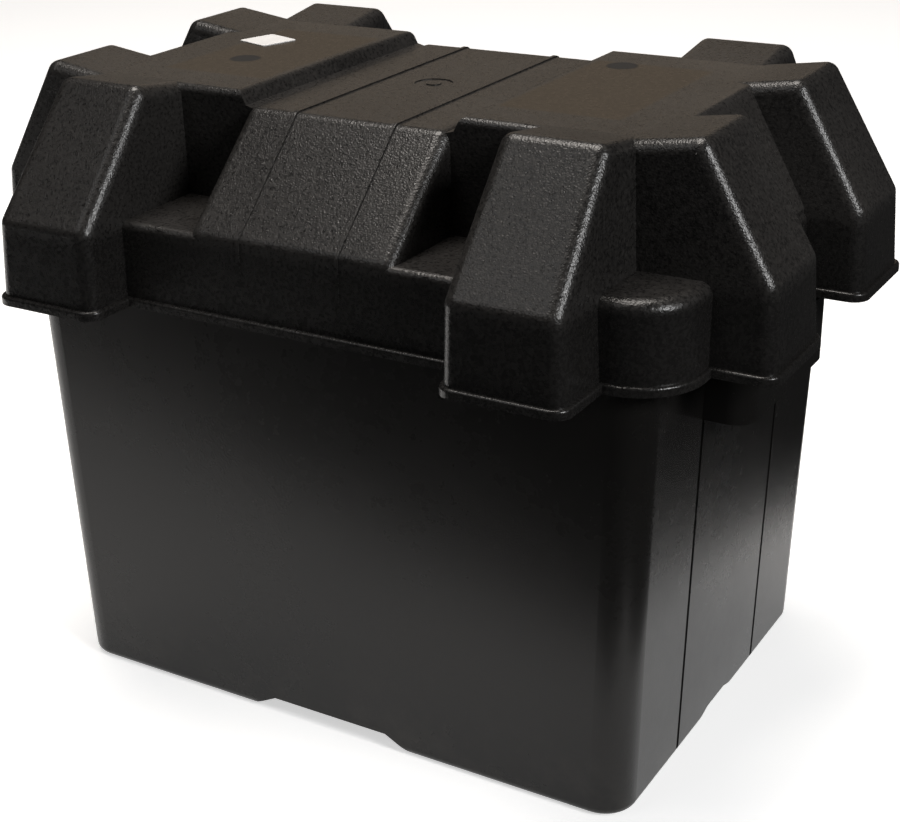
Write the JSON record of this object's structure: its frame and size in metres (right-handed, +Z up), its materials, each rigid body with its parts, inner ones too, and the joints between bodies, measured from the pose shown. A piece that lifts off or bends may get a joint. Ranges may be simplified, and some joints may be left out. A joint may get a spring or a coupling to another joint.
{
  "type": "battery box",
  "caption": "Lidded plastic box for a starter battery: drafted tub with end handles and strap channels, deep lift-off lid with hooded cable exits.",
  "frame": {"origin": "centre of the box's outline, on the surface the feet stand on", "axes": "+X along the box towards the right-hand handle, +Y across it away from the front, +Z up; the box is mirrored about X = 0 and Y = 0 apart from the label"},
  "size_m": [0.3578, 0.269, 0.267],
  "materials": {
    "tub_plastic": "satin, lightly textured black polypropylene",
    "lid_plastic": "leather-grained black polypropylene with smooth plateau panels",
    "label_paper": "plain white sticker, blank"
  },
  "bodies": {
    "tub": {"tub": "tub_plastic"},
    "lid": {"lid": "lid_plastic", "label": "label_paper"}
  },
  "joints": [
    {"name": "lid_lift", "type": "slide", "parent": "tub", "child": "lid", "axis": [0, 0, 1], "range_m": [0, 0.1]}
  ]
}
